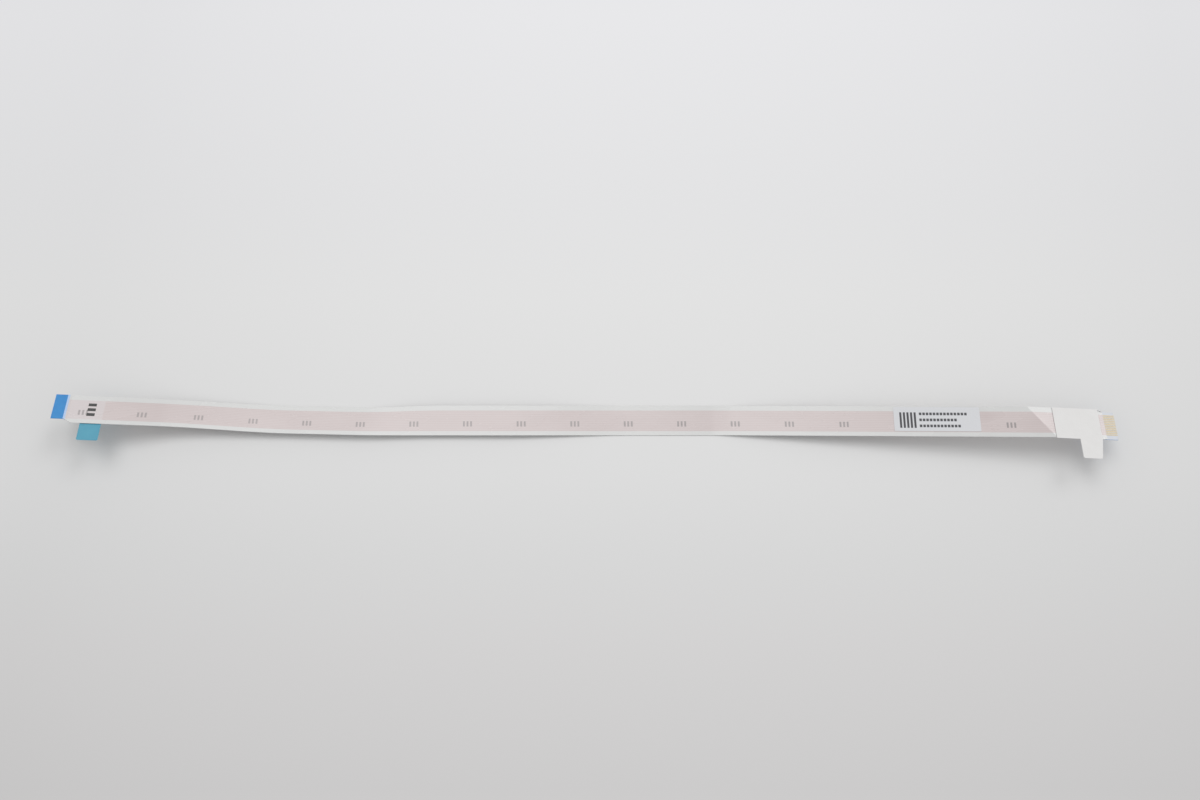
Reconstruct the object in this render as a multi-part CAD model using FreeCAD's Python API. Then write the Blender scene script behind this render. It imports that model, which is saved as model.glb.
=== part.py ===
import FreeCAD, Part
import math
import os

from FreeCAD import Placement, Rotation, Vector

# A flat flexible cable for a laptop camera, lying on a table as it came to rest.
# All lengths are millimetres and all angles are degrees.
# The origin is on the table, on the middle line of the stretch that lies flat.
# X runs along the cable to the board end, Y to its back edge and Z up.
# Places on the cable are given as along (from an end's tip, inwards), across (from the
# middle line, towards the back edge) and up (from the cable's underside).

# Conductors: flat strips side by side in one layer
CONDUCTOR_COUNT = 12
CONDUCTOR_PITCH = 0.5
CONDUCTOR_WIDTH = 0.3
CONDUCTOR_THICKNESS = 0.05

# Films: one below the conductors, and one above that also fills between them
FILM_THICKNESS = 0.07
GROOVE_ROOM = 0.01
FRONT_MARGIN = 1.2
BACK_MARGIN = 1.45

# Contact tongues: the bare contacts, and the stiffener on their backs
CONTACT_LENGTH = 2.95
STIFFENER_THICKNESS = 0.2
STIFFENER_LENGTH = 3.4
STIFFENER_OVERLAP = 0.5
CAMERA_STEP = 1.05
CAMERA_STEP_START = 3.1
CAMERA_STEP_END = 4.9
BOARD_STEP = 0.6
BOARD_STEP_START = 3.6
BOARD_STEP_END = 4.4

# Adhesive pads, and the release liners on them with their pull tabs
ADHESIVE_THICKNESS = 0.1
ADHESIVE_INSET = 0.3
LINER_THICKNESS = 0.06
TAB_CORNER = 0.4
CAMERA_LINER_START = 7.1
CAMERA_LINER_LENGTH = 5.15
CAMERA_LINER_INSET = 0.15
CAMERA_TAB_REACH = 4.95
BOARD_LINER_START = 4.25
BOARD_LINER_LENGTH = 12.0
BOARD_LINER_FRONT_OVERHANG = 0.3
BOARD_LINER_BACK_OVERHANG = 0.05
BOARD_TAB_WIDTH = 5.9
BOARD_TAB_END_WIDTH = 4.9
BOARD_TAB_REACH = 5.4

# Label, on the rising stretch before the crease
LABEL_LENGTH = 22.3
LABEL_WIDTH = 6.8
LABEL_THICKNESS = 0.08
LABEL_CORNER = 0.3
LABEL_FRONT_MARGIN = 1.4
LABEL_TO_CREASE = 15.7

# How the cable lies, from the camera end to the board end: the camera end is raised with
# its front edge lifted, the next run leans on its back edge, a low arch comes down to the
# stretch that lies flat, and the board end rises to an opened crease
CAMERA_RUN_LENGTH = 20.0
CAMERA_RUN_HEADING = 1.65
CAMERA_RUN_CLIMB = -12.35
CAMERA_RUN_FRONT_LIFT = 13.2
CAMERA_RUN_END_BACK = 0.87
CAMERA_RUN_END_LIFT = 4.73
CAMERA_BEND_SPAN = 46.35
LEANING_RUN_LENGTH = 8.0
LEANING_RUN_HEADING = -1.35
LEANING_RUN_FRONT_LIFT = 11.0
LEANING_RUN_FORWARD = 0.34
LEANING_RUN_CLEARANCE = 0.03
LEANING_BEND_SPAN = 30.0
ARCHED_RUN_LENGTH = 8.0
ARCHED_RUN_FORWARD = 0.36
ARCHED_RUN_LIFT = 1.1
ARCH_BEND_SPAN = 44.0
FLAT_TOWARDS_CAMERA = 2.0
FLAT_TOWARDS_BOARD = 14.0
RISE_BEND_SPAN = 8.0
RISE_LENGTH = 79.45
RISE_HEADING = -1.9
RISE_CLIMB = 4.8
RISE_FRONT_LIFT = 1.5
CREASE_ANGLE = 51.7
CREASE_BEND = -8.0
BOARD_RUN_LENGTH = 19.4

# Worked out from the sizes above
BAND_WIDTH = (CONDUCTOR_COUNT - 1) * CONDUCTOR_PITCH + CONDUCTOR_WIDTH
CABLE_WIDTH = FRONT_MARGIN + BAND_WIDTH + BACK_MARGIN
BACK = CABLE_WIDTH / 2
FRONT = -BACK
BAND_FRONT = FRONT + FRONT_MARGIN
CONDUCTOR_FLOOR = FILM_THICKNESS
CONDUCTOR_TOP = CONDUCTOR_FLOOR + CONDUCTOR_THICKNESS
CABLE_TOP = CONDUCTOR_TOP + FILM_THICKNESS

# Room that a cutting block has beyond what it cuts
CUT_ROOM = 1.0


def turned(heading, climb, front_lift):
    """The turn of a straight run that heads, climbs and has its front edge lifted."""
    return Rotation(heading, -climb, -front_lift)


def arched_run():
    """The level run on top of the low arch, measured from its middle."""
    middle = -FLAT_TOWARDS_CAMERA - ARCH_BEND_SPAN - ARCHED_RUN_LENGTH / 2
    return Placement(Vector(middle, -ARCHED_RUN_FORWARD, ARCHED_RUN_LIFT), Rotation())


def leaning_run():
    """The straight run that leans on its back edge, measured from its middle."""
    arch_start = arched_run().Base.x - ARCHED_RUN_LENGTH / 2
    middle = Vector(
        arch_start - LEANING_BEND_SPAN - LEANING_RUN_LENGTH / 2,
        -LEANING_RUN_FORWARD,
        LEANING_RUN_CLEARANCE + BACK * math.sin(math.radians(LEANING_RUN_FRONT_LIFT)),
    )
    return Placement(middle, turned(LEANING_RUN_HEADING, 0.0, LEANING_RUN_FRONT_LIFT))


def camera_run():
    """The straight run at the camera end, measured inwards from its tip."""
    turn = turned(CAMERA_RUN_HEADING, CAMERA_RUN_CLIMB, CAMERA_RUN_FRONT_LIFT)
    inner_end = Vector(
        leaning_run().Base.x - LEANING_RUN_LENGTH / 2 - CAMERA_BEND_SPAN,
        CAMERA_RUN_END_BACK,
        CAMERA_RUN_END_LIFT,
    )
    return Placement(inner_end - turn.multVec(Vector(CAMERA_RUN_LENGTH, 0, 0)), turn)


def rising_run():
    """The straight run up to the crease, measured from where the rise is steady."""
    half_bend = RISE_BEND_SPAN / 2
    start = Vector(
        FLAT_TOWARDS_BOARD + RISE_BEND_SPAN,
        half_bend * math.tan(math.radians(RISE_HEADING)),
        half_bend * math.tan(math.radians(RISE_CLIMB)),
    )
    return Placement(start, turned(RISE_HEADING, RISE_CLIMB, RISE_FRONT_LIFT))


def crease_axis():
    """The crease's direction, in the plane of the rising run, from its back to its front end."""
    angle = math.radians(CREASE_ANGLE)
    return rising_run().Rotation.multVec(Vector(math.cos(angle), -math.sin(angle), 0))


def crease_middle():
    """Where the crease crosses the middle line of the cable's underside."""
    return rising_run().multVec(Vector(RISE_LENGTH, 0, 0))


def board_run():
    """The straight run past the crease, with its origin at the board end's tip."""
    fold = Rotation(crease_axis(), CREASE_BEND)
    turn = fold.multiply(rising_run().Rotation)
    tip = crease_middle() + turn.multVec(Vector(BOARD_RUN_LENGTH, 0, 0))
    return Placement(tip, turn)


def section(run, along):
    """The corners of a section square to a run, as a function of across and up."""
    return lambda across, up: run.multVec(Vector(along, across, up))


def crease_section(across, up):
    """A corner on the plane that halves the crease, so that both runs share it."""
    half = math.radians(CREASE_BEND) / 2
    angle = math.radians(CREASE_ANGLE)
    shift = across / math.tan(angle) + up * math.tan(half) / math.sin(angle)
    return rising_run().multVec(Vector(RISE_LENGTH - shift, across, up))


def board_tip_section(inset):
    """The corners at the board end, reached from the crease along the board run."""
    run = board_run()
    forward = run.Rotation.multVec(Vector(1, 0, 0))
    tip = run.Base - forward * inset

    def corner(across, up):
        start = crease_section(across, up)
        return start + forward * (tip - start).dot(forward)

    return corner


def straight(first, last):
    """A straight stretch between two sections, as its rail through one corner."""
    return lambda across, up: [first(across, up), last(across, up)]


def bend(first_run, first_along, last_run, last_along):
    """A smooth bend from one run to the next, as its rail's four control points."""
    first = section(first_run, first_along)
    last = section(last_run, last_along)
    handle = (last(0, 0) - first(0, 0)).Length / 3
    leaving = first_run.Rotation.multVec(Vector(handle, 0, 0))
    arriving = last_run.Rotation.multVec(Vector(handle, 0, 0))

    def rail(across, up):
        start = first(across, up)
        end = last(across, up)
        return [start, start + leaving, end - arriving, end]

    return rail


def route(camera_inset, board_inset):
    """The rails of all stretches, from the camera end to the board end."""
    camera = camera_run()
    leaning = leaning_run()
    half_lean = LEANING_RUN_LENGTH / 2
    arched = arched_run()
    half_arch = ARCHED_RUN_LENGTH / 2
    flat = Placement()
    flat_start = -FLAT_TOWARDS_CAMERA
    flat_end = FLAT_TOWARDS_BOARD
    rise = rising_run()
    return [
        straight(section(camera, camera_inset), section(camera, CAMERA_RUN_LENGTH)),
        bend(camera, CAMERA_RUN_LENGTH, leaning, -half_lean),
        straight(section(leaning, -half_lean), section(leaning, half_lean)),
        bend(leaning, half_lean, arched, -half_arch),
        straight(section(arched, -half_arch), section(arched, half_arch)),
        bend(arched, half_arch, flat, flat_start),
        straight(section(flat, flat_start), section(flat, flat_end)),
        bend(flat, flat_end, rise, 0),
        straight(section(rise, 0), crease_section),
        straight(crease_section, board_tip_section(board_inset)),
    ]


def face_between(near_rail, far_rail):
    """The face between two neighbouring rails of one stretch."""
    if len(near_rail) == 2:
        corners = near_rail + far_rail[::-1]
        return Part.Face(Part.makePolygon(corners + corners[:1]))
    surface = Part.BezierSurface()
    surface.increase(len(near_rail) - 1, 1)
    for step, (near, far) in enumerate(zip(near_rail, far_rail), start=1):
        surface.setPole(step, 1, near)
        surface.setPole(step, 2, far)
    return surface.toShape()


def swept(profile, camera_inset=0.0, board_inset=0.0):
    """A closed profile of (across, up) corners carried along the whole cable."""
    stretches = route(camera_inset, board_inset)
    around = list(zip(profile, profile[1:] + profile[:1]))
    faces = [
        face_between(stretch(*near), stretch(*far))
        for stretch in stretches
        for near, far in around
    ]
    for stretch, end in ((stretches[0], 0), (stretches[-1], -1)):
        corners = [stretch(*corner)[end] for corner in profile]
        faces.append(Part.Face(Part.makePolygon(corners + corners[:1])))
    shell = Part.makeShell(faces)
    shell.sewShape()
    solid = Part.makeSolid(shell)
    if solid.Volume < 0:
        solid.reverse()
    return solid


def camera_end(shape):
    """A shape drawn as (along, across, up) from the camera tip, put in its place."""
    return shape.transformed(camera_run().toMatrix())


def board_end(shape):
    """A shape drawn as (-along, across, up) from the board tip, put in its place."""
    return shape.transformed(board_run().toMatrix())


def plate(outline, low, high):
    """A flat plate with an outline of (along, across) corners, between two heights."""
    corners = [Vector(along, across, low) for along, across in outline]
    return Part.Face(Part.makePolygon(corners + corners[:1])).extrude(Vector(0, 0, high - low))


def strip(outline, front, back):
    """A strip with a side view of (along, up) corners, between two places across."""
    corners = [Vector(along, front, up) for along, up in outline]
    return Part.Face(Part.makePolygon(corners + corners[:1])).extrude(Vector(0, back - front, 0))


def rounded(shape, radius, places):
    """The shape with its upright edges at the given (along, across) places rounded."""
    edges = [
        edge
        for edge in shape.Edges
        if edge.BoundBox.XLength + edge.BoundBox.YLength < radius / 10
        and any(
            math.dist((edge.BoundBox.Center.x, edge.BoundBox.Center.y), place) < radius / 10
            for place in places
        )
    ]
    return shape.makeFillet(radius, edges)


def flap_side_view(sign, film_face, outward):
    """Side view of a film's flap: a wall up the stiffener's end, and the overlap on its back.

    film_face is the height of the film's outer face, and outward is 1 up or -1 down.
    """
    stiffener_face = film_face + outward * (STIFFENER_THICKNESS - FILM_THICKNESS)
    outer_face = stiffener_face + outward * FILM_THICKNESS
    wall = STIFFENER_LENGTH + FILM_THICKNESS
    tip = STIFFENER_LENGTH - STIFFENER_OVERLAP
    return [
        (sign * STIFFENER_LENGTH, film_face),
        (sign * wall, film_face),
        (sign * wall, outer_face),
        (sign * tip, outer_face),
        (sign * tip, stiffener_face),
        (sign * STIFFENER_LENGTH, stiffener_face),
    ]


def camera_step_cutter():
    """What the camera tongue's front step takes away, with its slanted inner end."""
    outline = [
        (-CUT_ROOM, FRONT - CUT_ROOM),
        (CAMERA_STEP_END, FRONT - CUT_ROOM),
        (CAMERA_STEP_END, FRONT),
        (CAMERA_STEP_START, FRONT + CAMERA_STEP),
        (-CUT_ROOM, FRONT + CAMERA_STEP),
    ]
    return camera_end(plate(outline, -CUT_ROOM, CUT_ROOM))


def board_step_cutter():
    """What the board tongue's back step takes away, with its slanted inner end."""
    outline = [
        (CUT_ROOM, BACK + CUT_ROOM),
        (-BOARD_STEP_END, BACK + CUT_ROOM),
        (-BOARD_STEP_END, BACK),
        (-BOARD_STEP_START, BACK - BOARD_STEP),
        (CUT_ROOM, BACK - BOARD_STEP),
    ]
    return board_end(plate(outline, -CUT_ROOM, CUT_ROOM))


def conductor_edges(number):
    """Where conductor number 0, 1, 2 and so on begins and ends across the cable."""
    start = BAND_FRONT + number * CONDUCTOR_PITCH
    return start, start + CONDUCTOR_WIDTH


def conductor(number):
    """One conductor, from tip to tip."""
    near, far = conductor_edges(number)
    profile = [
        (near, CONDUCTOR_FLOOR),
        (far, CONDUCTOR_FLOOR),
        (far, CONDUCTOR_TOP),
        (near, CONDUCTOR_TOP),
    ]
    return swept(profile)


def lower_film():
    """The film below: short of the camera contacts, and over the board end stiffener."""
    profile = [(FRONT, 0), (BACK, 0), (BACK, FILM_THICKNESS), (FRONT, FILM_THICKNESS)]
    film = swept(profile, CONTACT_LENGTH, STIFFENER_LENGTH)
    flap = board_end(strip(flap_side_view(-1, 0.0, -1), FRONT, BACK))
    return film.fuse(flap).cut(camera_step_cutter()).cut(board_step_cutter())


def upper_film():
    """The film above, grooved for the conductors: its ends are the lower film's, turned over."""
    profile = [(FRONT, CONDUCTOR_FLOOR)]
    groove_top = CONDUCTOR_TOP + GROOVE_ROOM
    for number in range(CONDUCTOR_COUNT):
        near, far = conductor_edges(number)
        profile += [
            (near - GROOVE_ROOM, CONDUCTOR_FLOOR),
            (near - GROOVE_ROOM, groove_top),
            (far + GROOVE_ROOM, groove_top),
            (far + GROOVE_ROOM, CONDUCTOR_FLOOR),
        ]
    profile += [(BACK, CONDUCTOR_FLOOR), (BACK, CABLE_TOP), (FRONT, CABLE_TOP)]
    film = swept(profile, STIFFENER_LENGTH, CONTACT_LENGTH)
    flap = camera_end(strip(flap_side_view(1, CABLE_TOP, 1), FRONT, BACK))
    return film.fuse(flap).cut(camera_step_cutter()).cut(board_step_cutter())


def camera_stiffener():
    """The stiffener on top of the camera contacts' backs."""
    outline = [
        (0, FRONT),
        (STIFFENER_LENGTH, FRONT),
        (STIFFENER_LENGTH, BACK),
        (0, BACK),
    ]
    top = CONDUCTOR_TOP + STIFFENER_THICKNESS
    return camera_end(plate(outline, CONDUCTOR_TOP, top)).cut(camera_step_cutter())


def board_stiffener():
    """The stiffener underneath the board contacts' backs."""
    outline = [
        (0, FRONT),
        (0, BACK),
        (-STIFFENER_LENGTH, BACK),
        (-STIFFENER_LENGTH, FRONT),
    ]
    floor = CONDUCTOR_FLOOR - STIFFENER_THICKNESS
    return board_end(plate(outline, floor, CONDUCTOR_FLOOR)).cut(board_step_cutter())


def camera_adhesive():
    """The adhesive pad underneath, near the camera end."""
    start = CAMERA_LINER_START + ADHESIVE_INSET
    end = CAMERA_LINER_START + CAMERA_LINER_LENGTH - ADHESIVE_INSET
    front = FRONT + ADHESIVE_INSET
    back = BACK - ADHESIVE_INSET
    outline = [(start, front), (end, front), (end, back), (start, back)]
    return camera_end(plate(outline, -ADHESIVE_THICKNESS, 0.0))


def camera_liner():
    """The liner under that pad: a plain strip that goes on to the front as its pull tab."""
    start = CAMERA_LINER_START
    end = start + CAMERA_LINER_LENGTH
    back = BACK - CAMERA_LINER_INSET
    tab_start = (start, FRONT - CAMERA_TAB_REACH)
    tab_end = (end, FRONT - CAMERA_TAB_REACH)
    outline = [tab_start, tab_end, (end, back), (start, back)]
    top = -ADHESIVE_THICKNESS
    liner = plate(outline, top - LINER_THICKNESS, top)
    return camera_end(rounded(liner, TAB_CORNER, [tab_start, tab_end]))


def board_adhesive():
    """The adhesive pad on top, near the board end."""
    start = -BOARD_LINER_START - ADHESIVE_INSET
    end = -BOARD_LINER_START - BOARD_LINER_LENGTH + ADHESIVE_INSET
    front = FRONT + ADHESIVE_INSET
    back = BACK - BOARD_STEP - ADHESIVE_INSET
    outline = [(start, front), (start, back), (end, back), (end, front)]
    return board_end(plate(outline, CABLE_TOP, CABLE_TOP + ADHESIVE_THICKNESS))


def board_liner():
    """The liner on that pad, with a tapered pull tab out to the front at the tip's side."""
    start = -BOARD_LINER_START
    end = start - BOARD_LINER_LENGTH
    front = FRONT - BOARD_LINER_FRONT_OVERHANG
    back = BACK + BOARD_LINER_BACK_OVERHANG
    root = start - BOARD_TAB_WIDTH
    tab_inner = (root, front - BOARD_TAB_REACH)
    tab_outer = (root + BOARD_TAB_END_WIDTH, front - BOARD_TAB_REACH)
    outline = [
        (end, front),
        (root, front),
        tab_inner,
        tab_outer,
        (start, front),
        (start, back),
        (end, back),
    ]
    floor = CABLE_TOP + ADHESIVE_THICKNESS
    liner = plate(outline, floor, floor + LINER_THICKNESS)
    return board_end(rounded(liner, TAB_CORNER, [tab_inner, tab_outer]))


def label():
    """The label on the upper film, on the rising stretch."""
    end = RISE_LENGTH - LABEL_TO_CREASE
    start = end - LABEL_LENGTH
    front = FRONT + LABEL_FRONT_MARGIN
    back = front + LABEL_WIDTH
    corners = [(start, front), (end, front), (end, back), (start, back)]
    sheet = plate(corners, CABLE_TOP, CABLE_TOP + LABEL_THICKNESS)
    return rounded(sheet, LABEL_CORNER, corners).transformed(rising_run().toMatrix())


def pieces():
    """Every piece by its name."""
    made = {
        "upper_film": upper_film(),
        "lower_film": lower_film(),
        "camera_end_stiffener": camera_stiffener(),
        "board_end_stiffener": board_stiffener(),
        "camera_end_adhesive": camera_adhesive(),
        "camera_end_liner": camera_liner(),
        "board_end_adhesive": board_adhesive(),
        "board_end_liner": board_liner(),
        "label": label(),
    }
    for number in range(CONDUCTOR_COUNT):
        made[f"conductor_{number + 1:02d}"] = conductor(number)
    return made


os.makedirs("parts", exist_ok=True)
for name, shape in pieces().items():
    shape.exportStep(f"parts/{name}.step")
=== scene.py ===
import bpy
import bmesh
import math

from mathutils import Matrix, Vector


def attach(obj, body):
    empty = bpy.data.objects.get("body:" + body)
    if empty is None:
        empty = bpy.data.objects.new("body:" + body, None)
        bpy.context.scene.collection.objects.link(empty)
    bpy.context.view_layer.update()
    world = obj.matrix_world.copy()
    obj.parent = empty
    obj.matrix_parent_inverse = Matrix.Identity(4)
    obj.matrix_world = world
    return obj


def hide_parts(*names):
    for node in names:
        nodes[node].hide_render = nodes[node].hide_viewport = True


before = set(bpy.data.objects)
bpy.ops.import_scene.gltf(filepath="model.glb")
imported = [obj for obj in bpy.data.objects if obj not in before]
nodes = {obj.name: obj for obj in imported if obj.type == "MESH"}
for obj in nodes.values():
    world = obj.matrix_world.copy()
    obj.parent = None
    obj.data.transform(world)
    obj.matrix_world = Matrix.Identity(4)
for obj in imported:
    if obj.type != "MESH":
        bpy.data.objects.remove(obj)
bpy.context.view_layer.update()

MM = 0.001

# The cable's sizes in millimetres
CONDUCTOR_COUNT = 12
CONDUCTOR_PITCH = 0.5
CONDUCTOR_WIDTH = 0.3
CONDUCTOR_THICKNESS = 0.05
FILM_THICKNESS = 0.07
GROOVE_ROOM = 0.01
FRONT_MARGIN = 1.2
BACK_MARGIN = 1.45
CONTACT_LENGTH = 2.95
STIFFENER_THICKNESS = 0.2
STIFFENER_LENGTH = 3.4
STIFFENER_OVERLAP = 0.5
CAMERA_STEP = 1.05
CAMERA_STEP_START = 3.1
CAMERA_STEP_END = 4.9
BOARD_STEP = 0.6
BOARD_STEP_START = 3.6
BOARD_STEP_END = 4.4
LABEL_LENGTH = 22.3
LABEL_FRONT_MARGIN = 1.4
LABEL_TO_CREASE = 15.7
CABLE_LENGTH = 279.1

# How it lies, in millimetres and degrees
CAMERA_RUN_LENGTH = 20.0
CAMERA_RUN_HEADING = 1.65
CAMERA_RUN_CLIMB = -12.35
CAMERA_RUN_FRONT_LIFT = 13.2
CAMERA_RUN_END_BACK = 0.87
CAMERA_RUN_END_LIFT = 4.73
CAMERA_BEND_SPAN = 46.35
LEANING_RUN_LENGTH = 8.0
LEANING_RUN_HEADING = -1.35
LEANING_RUN_FRONT_LIFT = 11.0
LEANING_RUN_FORWARD = 0.34
LEANING_RUN_CLEARANCE = 0.03
LEANING_BEND_SPAN = 30.0
ARCHED_RUN_LENGTH = 8.0
ARCHED_RUN_FORWARD = 0.36
ARCHED_RUN_LIFT = 1.1
ARCH_BEND_SPAN = 44.0
FLAT_TOWARDS_CAMERA = 2.0
FLAT_TOWARDS_BOARD = 14.0
RISE_BEND_SPAN = 8.0
RISE_LENGTH = 79.45
RISE_HEADING = -1.9
RISE_CLIMB = 4.8
RISE_FRONT_LIFT = 1.5
CREASE_ANGLE = 51.7
CREASE_BEND = -8.0
BOARD_RUN_LENGTH = 19.4

# Small forms of the films. A flap's outer face goes from its foot to its top, as distances past the
# stiffener's end and shares of the stiffener's thickness
CREASE_ROUNDING = 0.3
CORNER_GAP = 0.001
LINE_STEPS = 12
FLAP_SLOPE = ((0.5, 0.0), (0.36, 0.2), (0.1, 0.85), (-0.02, 0.98), (-0.15, 1.0))
FLAP_TOE = 0.55
FLAP_SINK = 0.02
FLAP_EDGE_ROUNDING = 0.03
SMOOTH_BELOW_DEGREES = 30

BAND_WIDTH = (CONDUCTOR_COUNT - 1) * CONDUCTOR_PITCH + CONDUCTOR_WIDTH
CABLE_WIDTH = FRONT_MARGIN + BAND_WIDTH + BACK_MARGIN
BACK = CABLE_WIDTH / 2
FRONT = -BACK
BAND_FRONT = FRONT + FRONT_MARGIN
BAND_BACK = BAND_FRONT + BAND_WIDTH
CONDUCTOR_FLOOR = FILM_THICKNESS
CONDUCTOR_TOP = CONDUCTOR_FLOOR + CONDUCTOR_THICKNESS
CABLE_TOP = CONDUCTOR_TOP + FILM_THICKNESS
CAMERA_STEP_LINE = FRONT + CAMERA_STEP
BOARD_STEP_LINE = BACK - BOARD_STEP

# Print and shades on the films: places in millimetres from the camera end and the middle line,
# strengths as shares, and the stripes' soft edge as a share of the pitch
MARK_PITCH = 14.38
MARK_START = 5.67
MARK_ACROSS = -1.0
MARK_HEIGHT = 1.5
TICK_COUNT = 3
TICK_START = 0.5
TICK_PITCH = 0.95
TICK_WIDTH = 0.5
MARK_STRENGTHS = (0.72, 0.9)
END_BARS = (8.3, 10.3)
END_BAR_PLACES = (-2.0, -0.5, 1.0)
END_BAR_WIDTH = 0.9
PALE_END = 12.3
PALE_STRENGTH = 0.65
PALE_BLUR = 0.2
STRIPE_BLUR = 0.12
BAND_BLUR_OUTSIDE = 0.15
BAND_BLUR_INSIDE = 0.1
FLAP_TINT = 0.9
FLAP_TINT_REACH = 0.02

# Print on the label, in millimetres from its left and front edges. Each row of blocks has its place
# and its count, and the print lies only above a height over the film
BAR_COUNT = 5
BAR_START = 1.5
BAR_PITCH = 0.93
BAR_WIDTH = 0.55
BAR_ENDS = (0.9, 5.3)
BLOCK_ROWS = ((4.5, 14), (2.8, 11), (1.1, 12))
BLOCK_START = 6.6
BLOCK_PITCH = 0.9
BLOCK_SHARE = 0.72
BLOCK_HEIGHT = 0.75
LABEL_PRINT_HEIGHT = 0.06

# How far from the contacts' face, in millimetres, a stiffener still looks milky
STIFFENER_FACE_ROOM = 0.005


def tone(red, green, blue):
    """A colour as light, from the eye's 0 to 255 scale."""
    light = []
    for value in (red, green, blue):
        value /= 255
        light.append(value / 12.92 if value < 0.04045 else ((value + 0.055) / 1.055) ** 2.4)
    return (*light, 1.0)


# Surfaces: roughness, noise scales per metre, and the relief's depth in metres. The film's roughness
# goes from its first value to its second as the blotches' noise crosses its range
FILM_REFRACTION = 1.64
FILM_ROUGHNESS = (0.2, 0.3)
FILM_BLOTCHES = (90, 260, 1)
FILM_BLOTCH_RANGE = (0.3, 0.7)
FILM_GRAIN = (2600, 2600, 1)
FILM_GRAIN_SHARE = 0.06
FILM_RELIEF = 0.00003
GOLD_ROUGHNESS = 0.6
GOLD_SPOTS = 900.0
GOLD_BRUSHING = (900, 9000, 900)
GOLD_RELIEF = 0.00001
STIFFENER_ROUGHNESS = 0.34
STIFFENER_SPOTS = 700.0
STIFFENER_GRAIN = 3000.0
STIFFENER_RELIEF = 0.000012
LABEL_ROUGHNESS = 0.55
LABEL_FIBRES = 2500.0
LABEL_RELIEF = 0.000015
TABLE_ROUGHNESS = 0.9

# Each pair is the darker and the paler shade of one surface
FILM_MARGIN = (tone(197, 197, 196), tone(205, 206, 205))
FILM_GAP = (tone(193, 182, 181), tone(200, 190, 189))
FILM_OVER_CONDUCTOR = (tone(188, 175, 174), tone(196, 184, 183))
FILM_PALE_END = tone(201, 195, 196)
FILM_OVER_STIFFENER = tone(160, 190, 228)
MARK_GREY = tone(138, 132, 132)
END_BAR_BLACK = tone(12, 9, 10)
GOLD = (tone(201, 187, 158), tone(215, 202, 176))
STIFFENER_BLUE = (tone(16, 118, 187), tone(38, 136, 199))
STIFFENER_MILKY = (tone(190, 194, 202), tone(200, 204, 211))
LINER_CYAN = (tone(56, 138, 165), tone(74, 154, 177))
LINER_WHITE = (tone(213, 212, 211), tone(220, 219, 218))
ADHESIVE = (tone(196, 194, 184), tone(210, 208, 200))
LABEL_WHITE = (tone(201, 202, 205), tone(209, 210, 213))
LABEL_INK = tone(64, 64, 68)

# The table, in metres: its tones by distance behind the origin, which paint the fall of light on it,
# and the painted shade that darkens them towards both sides
FLOOR_SIZE = 3.0
FLOOR_DROP = 0.00002
TABLE_TONES_WITH_PAINTED_LIGHT = (
    (-0.220, tone(220, 220, 220)),
    (-0.093, tone(203, 202, 202)),
    (-0.060, tone(210, 209, 209)),
    (-0.038, tone(214, 214, 214)),
    (-0.016, tone(219, 219, 219)),
    (0.036, tone(225, 225, 225)),
    (0.068, tone(226, 226, 227)),
    (0.137, tone(231, 231, 233)),
    (0.260, tone(222, 222, 223)),
)
PAINTED_SIDE_SHADE_REACH = 0.16
PAINTED_SIDE_SHADE = 0.065

# Light: a pale room, a broad ceiling lamp behind to the left, and a window behind to the right.
# Each lamp has the direction towards it, its strength and its breadth in degrees
ROOM_LIGHT = 0.69
LAMPS = {
    "ceiling_lamp": (Vector((-0.2, 0.4, 0.89)), 0.78, 38.0),
    "window": (Vector((0.5, 0.5, 0.71)), 0.45, 24.0),
}

# Camera: 70 degrees above the table, looking along Y
CAMERA_PLACE = (-0.01485, -0.08712, 0.25562)
CAMERA_TILT = 20.0
CAMERA_LENS = 30.0
SENSOR_WIDTH = 36.0

camera = bpy.data.objects.new("camera", bpy.data.cameras.new("camera"))
camera.location = CAMERA_PLACE
camera.rotation_euler = (math.radians(CAMERA_TILT), 0, 0)
camera.data.lens = CAMERA_LENS
camera.data.sensor_width = SENSOR_WIDTH
camera.data.clip_start = 0.005
camera.data.clip_end = 20
bpy.context.collection.objects.link(camera)
bpy.context.scene.camera = camera
bpy.context.scene.view_settings.view_transform = "Standard"


class Run:
    """A straight run of the cable: its start, and its own three directions."""

    def __init__(self, start, turn):
        self.start = Vector(start)
        self.turn = turn
        self.forward = turn @ Vector((1, 0, 0))

    def point(self, along, across=0.0, up=0.0):
        return self.start + self.turn @ Vector((along, across, up))


def turned(heading, climb, front_lift):
    """The turn of a straight run that heads, climbs and has its front edge lifted."""
    yaw = Matrix.Rotation(math.radians(heading), 3, "Z")
    pitch = Matrix.Rotation(math.radians(-climb), 3, "Y")
    return yaw @ pitch @ Matrix.Rotation(math.radians(-front_lift), 3, "X")


# The straight runs, each placed from its neighbour towards the flat one
arch_middle = -FLAT_TOWARDS_CAMERA - ARCH_BEND_SPAN - ARCHED_RUN_LENGTH / 2
arched_run = Run((arch_middle, -ARCHED_RUN_FORWARD, ARCHED_RUN_LIFT), Matrix.Identity(3))
leaning_middle = (
    arch_middle - ARCHED_RUN_LENGTH / 2 - LEANING_BEND_SPAN - LEANING_RUN_LENGTH / 2,
    -LEANING_RUN_FORWARD,
    LEANING_RUN_CLEARANCE + BACK * math.sin(math.radians(LEANING_RUN_FRONT_LIFT)),
)
leaning_run = Run(leaning_middle, turned(LEANING_RUN_HEADING, 0, LEANING_RUN_FRONT_LIFT))
camera_turn = turned(CAMERA_RUN_HEADING, CAMERA_RUN_CLIMB, CAMERA_RUN_FRONT_LIFT)
camera_inner_end = Vector(
    (
        leaning_run.start.x - LEANING_RUN_LENGTH / 2 - CAMERA_BEND_SPAN,
        CAMERA_RUN_END_BACK,
        CAMERA_RUN_END_LIFT,
    )
)
camera_run = Run(camera_inner_end - camera_turn @ Vector((CAMERA_RUN_LENGTH, 0, 0)), camera_turn)
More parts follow.
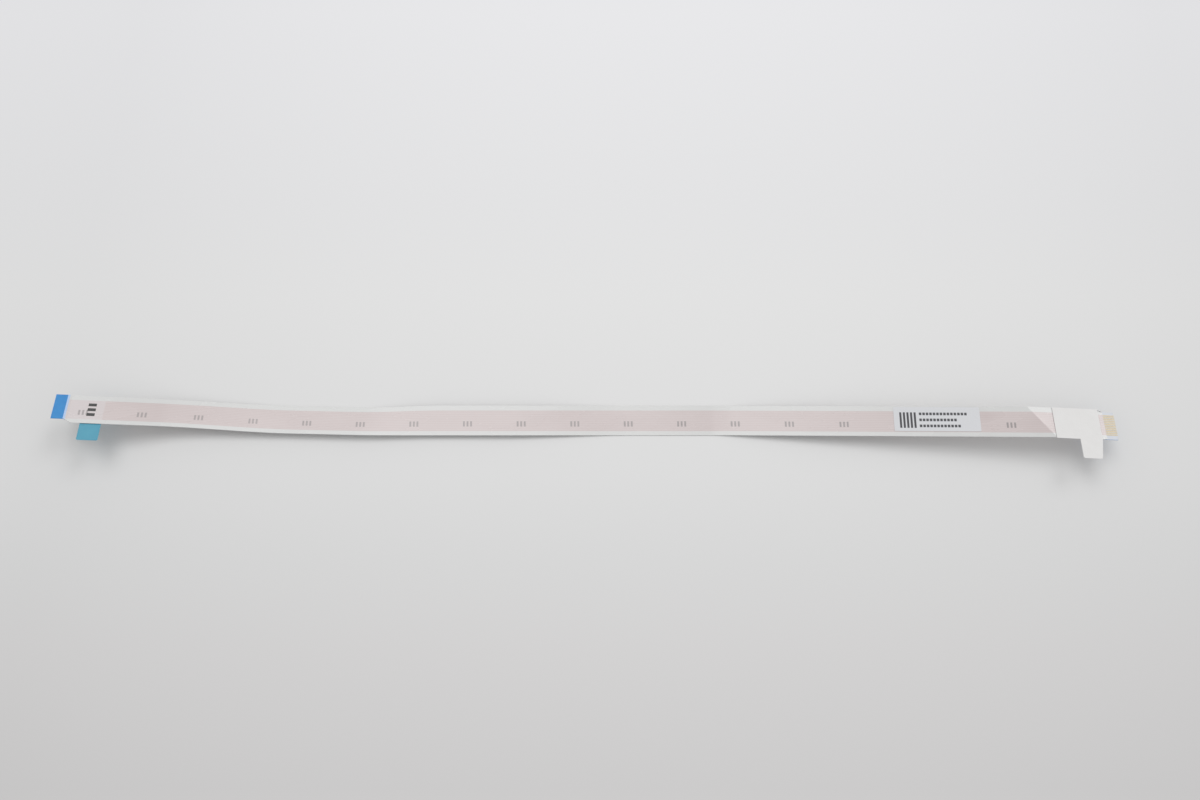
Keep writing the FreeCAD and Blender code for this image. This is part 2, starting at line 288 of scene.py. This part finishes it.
flat_run = Run((0, 0, 0), Matrix.Identity(3))
rise_start = (
    FLAT_TOWARDS_BOARD + RISE_BEND_SPAN,
    RISE_BEND_SPAN / 2 * math.tan(math.radians(RISE_HEADING)),
    RISE_BEND_SPAN / 2 * math.tan(math.radians(RISE_CLIMB)),
)
rise_run = Run(rise_start, turned(RISE_HEADING, RISE_CLIMB, RISE_FRONT_LIFT))
crease_radians = math.radians(CREASE_ANGLE)
crease_axis = rise_run.turn @ Vector((math.cos(crease_radians), -math.sin(crease_radians), 0))
fold = Matrix.Rotation(math.radians(CREASE_BEND), 3, crease_axis)
board_turn = fold @ rise_run.turn
board_run = Run(
    rise_run.point(RISE_LENGTH) + board_turn @ Vector((BOARD_RUN_LENGTH, 0, 0)), board_turn
)


def crease_point(across, up):
    """A point on the plane that halves the crease."""
    half = math.radians(CREASE_BEND) / 2
    shift = across / math.tan(crease_radians) + up * math.tan(half) / math.sin(crease_radians)
    return rise_run.point(RISE_LENGTH - shift, across, up)


def bend_points(first_run, first_along, last_run, last_along, across, up):
    """A bend's four control points, from the end of one run to the start of the next."""
    first = first_run.point(first_along, across, up)
    last = last_run.point(last_along, across, up)
    handle = (last_run.point(last_along) - first_run.point(first_along)).length / 4
    return [first, first + first_run.forward * handle, last - last_run.forward * handle, last]


def route(across=0.0, up=0.0, camera_inset=0.0, board_inset=0.0):
    """The control points of the line at one place of the section, tip to tip."""
    half_lean = LEANING_RUN_LENGTH / 2
    half_arch = ARCHED_RUN_LENGTH / 2
    crease = crease_point(across, up)
    tip = board_run.point(-board_inset)
    end = crease + board_run.forward * (tip - crease).dot(board_run.forward)
    return [
        camera_run.point(camera_inset, across, up),
        *bend_points(camera_run, CAMERA_RUN_LENGTH, leaning_run, -half_lean, across, up),
        *bend_points(leaning_run, half_lean, arched_run, -half_arch, across, up),
        *bend_points(arched_run, half_arch, flat_run, -FLAT_TOWARDS_CAMERA, across, up),
        *bend_points(flat_run, FLAT_TOWARDS_BOARD, rise_run, 0, across, up),
        crease - rise_run.forward * CREASE_ROUNDING,
        crease,
        crease + board_run.forward * CREASE_ROUNDING,
        end,
    ]


def smooth_lines(routes):
    """The smooth lines through several routes of as many points, in metres."""
    curve = bpy.data.curves.new("lines", "CURVE")
    curve.dimensions = "3D"
    curve.resolution_u = LINE_STEPS
    for points in routes:
        spline = curve.splines.new("NURBS")
        spline.points.add(len(points) - 1)
        for place, point in zip(spline.points, points):
            place.co = (*(point * MM), 1)
        spline.order_u = 3
        spline.use_endpoint_u = True
    holder = bpy.data.objects.new("lines", curve)
    mesh = bpy.data.meshes.new_from_object(holder)
    places = [vertex.co.copy() for vertex in mesh.vertices]
    bpy.data.objects.remove(holder)
    bpy.data.curves.remove(curve)
    bpy.data.meshes.remove(mesh)
    count = len(places) // len(routes)
    return [places[first : first + count] for first in range(0, len(places), count)]


def camera_front(along):
    """The front edge at a distance from the camera tip, with the step cut away."""
    slope = (CAMERA_STEP_END - along) / (CAMERA_STEP_END - CAMERA_STEP_START)
    return FRONT + CAMERA_STEP * min(1.0, max(0.0, slope))


def board_back(along):
    """The back edge at a distance from the board tip, with the step cut away."""
    slope = (BOARD_STEP_END - along) / (BOARD_STEP_END - BOARD_STEP_START)
    return BACK - BOARD_STEP * min(1.0, max(0.0, slope))


def film_start(across, least):
    """How far from the camera tip a film begins at one place across."""
    past_step = (across - FRONT) / CAMERA_STEP
    if past_step >= 1:
        return least
    slanted = CAMERA_STEP_END - past_step * (CAMERA_STEP_END - CAMERA_STEP_START)
    return max(least, slanted)


def film_end(across, least):
    """How far from the board tip a film ends at one place across."""
    past_step = (BACK - across) / BOARD_STEP
    if past_step >= 1:
        return least
    slanted = BOARD_STEP_END - past_step * (BOARD_STEP_END - BOARD_STEP_START)
    return max(least, slanted)


def build(name, vertices, faces, layout):
    """A piece from its vertices and faces, with its places (along, across) as its layout."""
    mesh = bpy.data.meshes.new(name)
    mesh.from_pydata(vertices, [], faces)
    places = mesh.uv_layers.new(name="layout")
    for loop in mesh.loops:
        places.data[loop.index].uv = layout[loop.vertex_index]
    shape = bmesh.new()
    shape.from_mesh(mesh)
    bmesh.ops.recalc_face_normals(shape, faces=shape.faces)
    for face in shape.faces:
        face.smooth = True
    for edge in shape.edges:
        if len(edge.link_faces) == 2:
            edge.smooth = edge.calc_face_angle() < math.radians(SMOOTH_BELOW_DEGREES)
    shape.to_mesh(mesh)
    shape.free()
    piece = bpy.data.objects.new(name, mesh)
    bpy.context.collection.objects.link(piece)
    return piece


def ribbon(profile, least_camera, least_board):
    """Vertices, faces and layout of a closed (across, up) profile carried along the cable."""
    insets = [
        (film_start(across, least_camera), film_end(across, least_board))
        for across, up in profile
    ]
    lines = smooth_lines(
        [route(across, up, *inset) for (across, up), inset in zip(profile, insets)]
    )
    steps = len(lines[0])
    vertices = []
    layout = []
    for line, (across, up), (start, end) in zip(lines, profile, insets):
        lengths = [0.0]
        for near, far in zip(line, line[1:]):
            lengths.append(lengths[-1] + (far - near).length)
        stretch = (CABLE_LENGTH - start - end) * MM / lengths[-1]
        vertices += line
        layout += [(start * MM + length * stretch, across * MM) for length in lengths]
    faces = []
    for corner in range(len(profile)):
        near = corner * steps
        far = (corner + 1) % len(profile) * steps
        for step in range(steps - 1):
            faces.append((near + step, near + step + 1, far + step + 1, far + step))
    for end in (0, steps - 1):
        faces.append([corner * steps + end for corner in range(len(profile))])
    return vertices, faces, layout


def flap(side_view, run, sign, front, back):
    """Vertices, faces and layout of a film's flap over a stiffener."""
    vertices = []
    layout = []
    for edge in (front, back):
        for along, up in side_view:
            across = edge(along)
            vertices.append(run.point(sign * along, across, up) * MM)
            far_along = along if sign > 0 else CABLE_LENGTH - along
            layout.append((far_along * MM, across * MM))
    count = len(side_view)
    faces = [list(range(count)), list(range(count, 2 * count))]
    for corner in range(count):
        other = (corner + 1) % count
        faces.append((corner, other, count + other, count + corner))
    return vertices, faces, layout


def joined(*shapes):
    """Several sets of vertices, faces and layout as one."""
    vertices = []
    faces = []
    layout = []
    for more_vertices, more_faces, more_layout in shapes:
        first = len(vertices)
        vertices += more_vertices
        layout += more_layout
        faces += [[first + index for index in face] for face in more_faces]
    return vertices, faces, layout


def flap_side_view(face, outward):
    """Side view of a flap: the film slopes up from its own face and over the stiffener."""
    raised = face + outward * (STIFFENER_THICKNESS - FILM_THICKNESS)
    outer = raised + outward * FILM_THICKNESS
    sunk = face - outward * FLAP_SINK
    edge = STIFFENER_LENGTH - STIFFENER_OVERLAP
    slope = [
        (STIFFENER_LENGTH + past, face + outward * STIFFENER_THICKNESS * share)
        for past, share in FLAP_SLOPE
    ]
    return [
        (STIFFENER_LENGTH + FLAP_TOE, sunk),
        *slope,
        (edge + FLAP_EDGE_ROUNDING, outer),
        (edge, outer - outward * FLAP_SINK),
        (edge, raised),
        (STIFFENER_LENGTH, raised),
        (STIFFENER_LENGTH, sunk),
    ]


def conductor_edges(number):
    """The front and back edges of a conductor, counted from the front."""
    start = BAND_FRONT + number * CONDUCTOR_PITCH
    return start, start + CONDUCTOR_WIDTH


def upper_film_piece():
    """The film on top, grooved for the conductors, with its flap over the camera end stiffener."""
    corner = camera_front(STIFFENER_LENGTH)
    profile = [(FRONT, CONDUCTOR_FLOOR), (corner, CONDUCTOR_FLOOR)]
    groove_top = CONDUCTOR_TOP + GROOVE_ROOM
    for number in range(CONDUCTOR_COUNT):
        near, far = conductor_edges(number)
        profile += [
            (near - GROOVE_ROOM, CONDUCTOR_FLOOR),
            (near - GROOVE_ROOM, groove_top),
            (far + GROOVE_ROOM, groove_top),
            (far + GROOVE_ROOM, CONDUCTOR_FLOOR),
        ]
    profile += [
        (BOARD_STEP_LINE, CONDUCTOR_FLOOR),
        (BOARD_STEP_LINE + CORNER_GAP, CONDUCTOR_FLOOR),
        (BACK, CONDUCTOR_FLOOR),
        (BACK, CABLE_TOP),
        (BOARD_STEP_LINE + CORNER_GAP, CABLE_TOP),
        (BOARD_STEP_LINE, CABLE_TOP),
        (BAND_BACK, CABLE_TOP),
        (BAND_FRONT, CABLE_TOP),
        (corner, CABLE_TOP),
        (FRONT, CABLE_TOP),
    ]
    return build(
        "upper_film_ribbon",
        *joined(
            ribbon(profile, STIFFENER_LENGTH, CONTACT_LENGTH),
            flap(flap_side_view(CABLE_TOP, 1), camera_run, 1, camera_front, lambda along: BACK),
        ),
    )


def lower_film_piece():
    """The flat film below, with its flap over the board end stiffener."""
    places = [FRONT, CAMERA_STEP_LINE - CORNER_GAP, CAMERA_STEP_LINE, BAND_FRONT, BAND_BACK]
    places += [BOARD_STEP_LINE, BOARD_STEP_LINE + CORNER_GAP, BACK]
    profile = [(across, 0.0) for across in places]
    profile += [(across, FILM_THICKNESS) for across in places[::-1]]
    return build(
        "lower_film_ribbon",
        *joined(
            ribbon(profile, CONTACT_LENGTH, STIFFENER_LENGTH),
            flap(flap_side_view(0.0, -1), board_run, -1, lambda along: FRONT, board_back),
        ),
    )


def conductor_piece(number):
    """One flat conductor, bare at both ends as a contact."""
    near, far = conductor_edges(number)
    profile = [
        (near, CONDUCTOR_FLOOR),
        (far, CONDUCTOR_FLOOR),
        (far, CONDUCTOR_TOP),
        (near, CONDUCTOR_TOP),
    ]
    return build(f"conductor_strip_{number + 1:02d}", *ribbon(profile, 0.0, 0.0))


upper_film = upper_film_piece()
lower_film = lower_film_piece()
conductors = [conductor_piece(number) for number in range(CONDUCTOR_COUNT)]


class Finish:
    """A material made of nodes round one shader."""

    def __init__(self, name, roughness, metallic=0.0):
        self.material = bpy.data.materials.new(name)
        self.material.use_nodes = True
        self.tree = self.material.node_tree
        self.shader = self.tree.nodes["Principled BSDF"]
        self.shader.inputs["Roughness"].default_value = roughness
        self.shader.inputs["Metallic"].default_value = metallic

    def give(self, socket, value):
        if isinstance(value, bpy.types.NodeSocket):
            self.tree.links.new(value, socket)
        else:
            socket.default_value = value

    def places(self, kind):
        """Coordinates: the layout of a built piece, or the frame's own in metres."""
        if kind == "layout":
            node = self.tree.nodes.new("ShaderNodeUVMap")
            node.uv_map = "layout"
            return node.outputs["UV"]
        return self.tree.nodes.new("ShaderNodeTexCoord").outputs["Object"]

    def parts(self, vector):
        node = self.tree.nodes.new("ShaderNodeSeparateXYZ")
        self.give(node.inputs[0], vector)
        return node.outputs

    def scaled(self, vector, scale):
        node = self.tree.nodes.new("ShaderNodeMapping")
        self.give(node.inputs["Vector"], vector)
        node.inputs["Scale"].default_value = scale
        return node.outputs[0]

    def run_places(self, run):
        """Coordinates along a straight run, in millimetres."""
        node = self.tree.nodes.new("ShaderNodeMapping")
        node.vector_type = "TEXTURE"
        self.give(node.inputs["Vector"], self.places("frame"))
        node.inputs["Location"].default_value = run.start * MM
        node.inputs["Rotation"].default_value = run.turn.to_euler()
        node.inputs["Scale"].default_value = (MM, MM, MM)
        return node.outputs[0]

    def math(self, operation, *values):
        node = self.tree.nodes.new("ShaderNodeMath")
        node.operation = operation
        for socket, value in zip(node.inputs, values):
            self.give(socket, value)
        return node.outputs[0]

    def between(self, value, low, high):
        """1 where the value lies between two limits, else 0."""
        above = self.math("GREATER_THAN", value, low)
        return self.math("MULTIPLY", above, self.math("LESS_THAN", value, high))

    def noise(self, vector, scale, detail=3.0):
        node = self.tree.nodes.new("ShaderNodeTexNoise")
        self.give(node.inputs["Vector"], vector)
        node.inputs["Scale"].default_value = scale
        node.inputs["Detail"].default_value = detail
        return node.outputs["Fac"]

    def smooth(self, value, low, high, low_result=0.0, high_result=1.0):
        """A soft step from one result to the other, between two limits."""
        node = self.tree.nodes.new("ShaderNodeMapRange")
        node.interpolation_type = "SMOOTHSTEP"
        for socket, number in zip(node.inputs, (value, low, high, low_result, high_result)):
            self.give(socket, number)
        return node.outputs[0]

    def mix(self, amount, first, second):
        node = self.tree.nodes.new("ShaderNodeMix")
        node.data_type = "RGBA"
        self.give(node.inputs[0], amount)
        self.give(node.inputs[6], first)
        self.give(node.inputs[7], second)
        return node.outputs[2]

    def colour(self, value):
        self.give(self.shader.inputs["Base Color"], value)

    def roughness(self, value):
        self.give(self.shader.inputs["Roughness"], value)

    def bump(self, height, depth):
        node = self.tree.nodes.new("ShaderNodeBump")
        node.inputs["Distance"].default_value = depth
        self.give(node.inputs["Height"], height)
        self.give(self.shader.inputs["Normal"], node.outputs[0])

    def put_on(self, *pieces):
        for piece in pieces:
            piece.data.materials.clear()
            piece.data.materials.append(self.material)


def band_colour(film, along, across, blotch):
    """The conductors' band seen through the film, striped, and paler near the camera end."""
    from_band = film.math("SUBTRACT", across, BAND_FRONT * MM)
    in_pitch = film.math("FRACT", film.math("DIVIDE", from_band, CONDUCTOR_PITCH * MM))
    share = CONDUCTOR_WIDTH / CONDUCTOR_PITCH
    stripe = film.math(
        "MULTIPLY",
        film.smooth(in_pitch, 0.0, STRIPE_BLUR),
        film.smooth(in_pitch, share - STRIPE_BLUR, share, 1.0, 0.0),
    )
    gap = film.mix(blotch, *FILM_GAP)
    band = film.mix(stripe, gap, film.mix(blotch, *FILM_OVER_CONDUCTOR))
    pale_from = (PALE_END - PALE_BLUR) * MM
    pale_to = (PALE_END + PALE_BLUR) * MM
    pale = film.smooth(along, pale_from, pale_to, PALE_STRENGTH, 0.0)
    return film.mix(pale, band, FILM_PALE_END)


def inside_band(film, across):
    """1 over the conductors' band, with soft edges, else 0."""
    front_from = (BAND_FRONT - BAND_BLUR_OUTSIDE) * MM
    front_to = (BAND_FRONT + BAND_BLUR_INSIDE) * MM
    back_from = (BAND_BACK - BAND_BLUR_INSIDE) * MM
    back_to = (BAND_BACK + BAND_BLUR_OUTSIDE) * MM
    return film.math(
        "MULTIPLY",
        film.smooth(across, front_from, front_to),
        film.smooth(across, back_from, back_to, 1.0, 0.0),
    )


def repeated_marks(film, along, across):
    """Three short grey ticks, printed again and again."""
    from_start = film.math("SUBTRACT", along, MARK_START * MM)
    in_pitch = film.math("FRACT", film.math("DIVIDE", from_start, MARK_PITCH * MM))
    place = film.math("MULTIPLY", in_pitch, MARK_PITCH * MM)
    ticks = 0.0
    for tick in range(TICK_COUNT):
        begin = TICK_START + tick * TICK_PITCH
        here = film.between(place, begin * MM, (begin + TICK_WIDTH) * MM)
        ticks = film.math("MAXIMUM", ticks, here)
    front = (MARK_ACROSS - MARK_HEIGHT / 2) * MM
    back = (MARK_ACROSS + MARK_HEIGHT / 2) * MM
    height = film.between(across, front, back)
    fading = film.smooth(along, 0.0, CABLE_LENGTH * MM, *MARK_STRENGTHS)
    return film.math("MULTIPLY", film.math("MULTIPLY", ticks, height), fading)


def end_marks(film, along, across):
    """Three short black bars near the camera end."""
    here = film.between(along, END_BARS[0] * MM, END_BARS[1] * MM)
    bars = 0.0
    for place in END_BAR_PLACES:
        bar = film.between(across, place * MM, (place + END_BAR_WIDTH) * MM)
        bars = film.math("MAXIMUM", bars, bar)
    return film.math("MULTIPLY", here, bars)


def film_finish(name, printed):
    """White film with the conductors showing through."""
    film = Finish(name, FILM_ROUGHNESS[1])
    film.shader.inputs["IOR"].default_value = FILM_REFRACTION
    layout = film.places("layout")
    along, across, _ = film.parts(layout)
    blotch = film.noise(film.scaled(layout, FILM_BLOTCHES), 1.0, detail=4.0)
    margin = film.mix(blotch, *FILM_MARGIN)
    band = band_colour(film, along, across, blotch)
    colour = film.mix(inside_band(film, across), margin, band)
    tint_reach = STIFFENER_LENGTH + FLAP_TINT_REACH
    if printed:
        over_stiffener = film.math("LESS_THAN", along, tint_reach * MM)
        colour = film.mix(repeated_marks(film, along, across), colour, MARK_GREY)
        colour = film.mix(end_marks(film, along, across), colour, END_BAR_BLACK)
    else:
        over_stiffener = film.math("GREATER_THAN", along, (CABLE_LENGTH - tint_reach) * MM)
    tint = film.math("MULTIPLY", over_stiffener, FLAP_TINT)
    film.colour(film.mix(tint, colour, FILM_OVER_STIFFENER))
    grain = film.noise(film.scaled(layout, FILM_GRAIN), 1.0, detail=2.0)
    relief = film.math("ADD", blotch, film.math("MULTIPLY", grain, FILM_GRAIN_SHARE))
    film.bump(relief, FILM_RELIEF)
    film.roughness(film.smooth(blotch, *FILM_BLOTCH_RANGE, *FILM_ROUGHNESS))
    return film


def contact_finish():
    """Satin gold plating."""
    gold = Finish("gold_plating", GOLD_ROUGHNESS, metallic=1.0)
    spots = gold.noise(gold.places("frame"), GOLD_SPOTS)
    gold.colour(gold.mix(spots, *GOLD))
    gold.bump(gold.noise(gold.scaled(gold.places("frame"), GOLD_BRUSHING), 1.0), GOLD_RELIEF)
    return gold


def stiffener_finish(name, run, milky_sign, milky_from):
    """Blue stiffener film, milky on the side with the contacts."""
    blue = Finish(name, STIFFENER_ROUGHNESS)
    up = blue.parts(blue.run_places(run))[2]
    spots = blue.noise(blue.places("frame"), STIFFENER_SPOTS, detail=4.0)
    colour = blue.mix(spots, *STIFFENER_BLUE)
    milky = blue.mix(spots, *STIFFENER_MILKY)
    on_milky_side = blue.math("GREATER_THAN", blue.math("MULTIPLY", up, milky_sign), milky_from)
    blue.colour(blue.mix(on_milky_side, colour, milky))
    blue.bump(blue.noise(blue.places("frame"), STIFFENER_GRAIN), STIFFENER_RELIEF)
    return blue


def sheet_finish(name, shades, roughness, spot_size, depth):
    """A thin plastic or paper sheet with faint spots."""
    sheet = Finish(name, roughness)
    spots = sheet.noise(sheet.places("frame"), 1 / spot_size, detail=5.0)
    sheet.colour(sheet.mix(spots, *shades))
    sheet.bump(sheet.noise(sheet.places("frame"), 4 / spot_size, detail=4.0), depth)
    return sheet


def label_blocks(paper, along, across):
    """Three rows of small plain blocks."""
    ink = 0.0
    for row, block_count in BLOCK_ROWS:
        from_start = paper.math("SUBTRACT", along, BLOCK_START)
        in_block = paper.math("FRACT", paper.math("DIVIDE", from_start, BLOCK_PITCH))
        blocks = paper.math(
            "MULTIPLY",
            paper.between(from_start, 0.0, BLOCK_PITCH * block_count),
            paper.math("LESS_THAN", in_block, BLOCK_SHARE),
        )
        blocks = paper.math("MULTIPLY", blocks, paper.between(across, row, row + BLOCK_HEIGHT))
        ink = paper.math("MAXIMUM", ink, blocks)
    return ink


def label_bars(paper, along, across, ink):
    """The ink so far, with five plain bars."""
    for column in range(BAR_COUNT):
        begin = BAR_START + BAR_PITCH * column
        bar = paper.math(
            "MULTIPLY",
            paper.between(along, begin, begin + BAR_WIDTH),
            paper.between(across, *BAR_ENDS),
        )
        ink = paper.math("MAXIMUM", ink, bar)
    return ink


def label_finish():
    """White paper, printed on its top."""
    paper = Finish("label_paper", LABEL_ROUGHNESS)
    along, across, up = paper.parts(paper.run_places(rise_run))
    start = RISE_LENGTH - LABEL_TO_CREASE - LABEL_LENGTH
    along = paper.math("SUBTRACT", along, start)
    across = paper.math("SUBTRACT", across, FRONT + LABEL_FRONT_MARGIN)
    fibres = paper.noise(paper.places("frame"), LABEL_FIBRES, detail=5.0)
    colour = paper.mix(fibres, *LABEL_WHITE)
    ink = label_bars(paper, along, across, label_blocks(paper, along, across))
    top = paper.math("GREATER_THAN", up, CABLE_TOP + LABEL_PRINT_HEIGHT)
    paper.colour(paper.mix(paper.math("MULTIPLY", ink, top), colour, LABEL_INK))
    paper.bump(fibres, LABEL_RELIEF)
    return paper


camera_milky_from = -CONDUCTOR_TOP - STIFFENER_FACE_ROOM
board_milky_from = CONDUCTOR_FLOOR - STIFFENER_FACE_ROOM
film_finish("printed_film", True).put_on(upper_film)
film_finish("plain_film", False).put_on(lower_film)
contact_finish().put_on(*conductors)
stiffener_finish("camera_stiffener_film", camera_run, -1.0, camera_milky_from).put_on(
    nodes["camera_end_stiffener"]
)
stiffener_finish("board_stiffener_film", board_run, 1.0, board_milky_from).put_on(
    nodes["board_end_stiffener"]
)
sheet_finish(
    "cyan_liner_film", LINER_CYAN, roughness=0.3, spot_size=0.003, depth=0.00002
).put_on(nodes["camera_end_liner"])
sheet_finish(
    "white_liner_paper", LINER_WHITE, roughness=0.5, spot_size=0.002, depth=0.00002
).put_on(nodes["board_end_liner"])
sheet_finish(
    "adhesive_film", ADHESIVE, roughness=0.6, spot_size=0.001, depth=0.00003
).put_on(nodes["camera_end_adhesive"], nodes["board_end_adhesive"])
label_finish().put_on(nodes["label"])

# What rides on what
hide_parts("upper_film")
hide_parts("lower_film")
for number, strip in enumerate(conductors, start=1):
    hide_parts(f"conductor_{number:02d}")
    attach(strip, "root")
for film in (upper_film, lower_film):
    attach(film, "root")
route()[0] * MM
smooth_lines([route()])[0]


def table_finish():
    """Pale table with painted light: its tone follows the distance behind the origin, brightest
    somewhat behind the cable, and painted shade darkens it to both sides.
    """
    table = Finish("table_top", TABLE_ROUGHNESS)
    place_x, place_y, _ = table.parts(table.places("frame"))
    near_edge = TABLE_TONES_WITH_PAINTED_LIGHT[0][0]
    depth = TABLE_TONES_WITH_PAINTED_LIGHT[-1][0] - near_edge
    # Painted light: the table's tone rises and falls with the distance behind the origin
    ramp = table.tree.nodes.new("ShaderNodeValToRGB")
    from_near = table.math("SUBTRACT", place_y, near_edge)
    table.give(ramp.inputs[0], table.math("DIVIDE", from_near, depth))
    while len(ramp.color_ramp.elements) < len(TABLE_TONES_WITH_PAINTED_LIGHT):
        ramp.color_ramp.elements.new(0.5)
    for stop, (distance, colour) in zip(ramp.color_ramp.elements, TABLE_TONES_WITH_PAINTED_LIGHT):
        stop.position = (distance - near_edge) / depth
        stop.color = colour
    # Painted shade: the table darkens towards both sides
    sideways = table.math("MINIMUM", table.math("ABSOLUTE", place_x), PAINTED_SIDE_SHADE_REACH)
    share = table.math("DIVIDE", sideways, PAINTED_SIDE_SHADE_REACH)
    painted_side_darkening = table.math("MULTIPLY", table.math("POWER", share, 2), PAINTED_SIDE_SHADE)
    table.colour(table.mix(painted_side_darkening, ramp.outputs[0], (0, 0, 0, 1)))
    table.shader.inputs["Specular IOR Level"].default_value = 0.0
    return table


def table_top():
    """A flat table just under the cable."""
    mesh = bpy.data.meshes.new("table_top")
    corner = FLOOR_SIZE / 2
    mesh.from_pydata(
        [(-corner, -corner, 0), (corner, -corner, 0), (corner, corner, 0), (-corner, corner, 0)],
        [],
        [(0, 1, 2, 3)],
    )
    floor = bpy.data.objects.new("table_top", mesh)
    floor.location.z = -FLOOR_DROP
    bpy.context.collection.objects.link(floor)
    return floor


floor = table_top()
table_finish().put_on(floor)

world = bpy.data.worlds.new("room")
bpy.context.scene.world = world
world.use_nodes = True
backdrop = world.node_tree.nodes["Background"]
backdrop.inputs["Color"].default_value = (1.0, 1.0, 1.0, 1.0)
backdrop.inputs["Strength"].default_value = ROOM_LIGHT

for lamp_name, (towards, energy, breadth) in LAMPS.items():
    lamp = bpy.data.objects.new(lamp_name, bpy.data.lights.new(lamp_name, "SUN"))
    lamp.data.energy = energy
    lamp.data.angle = math.radians(breadth)
    lamp.rotation_mode = "QUATERNION"
    lamp.rotation_quaternion = towards.to_track_quat("Z", "Y")
    bpy.context.collection.objects.link(lamp)
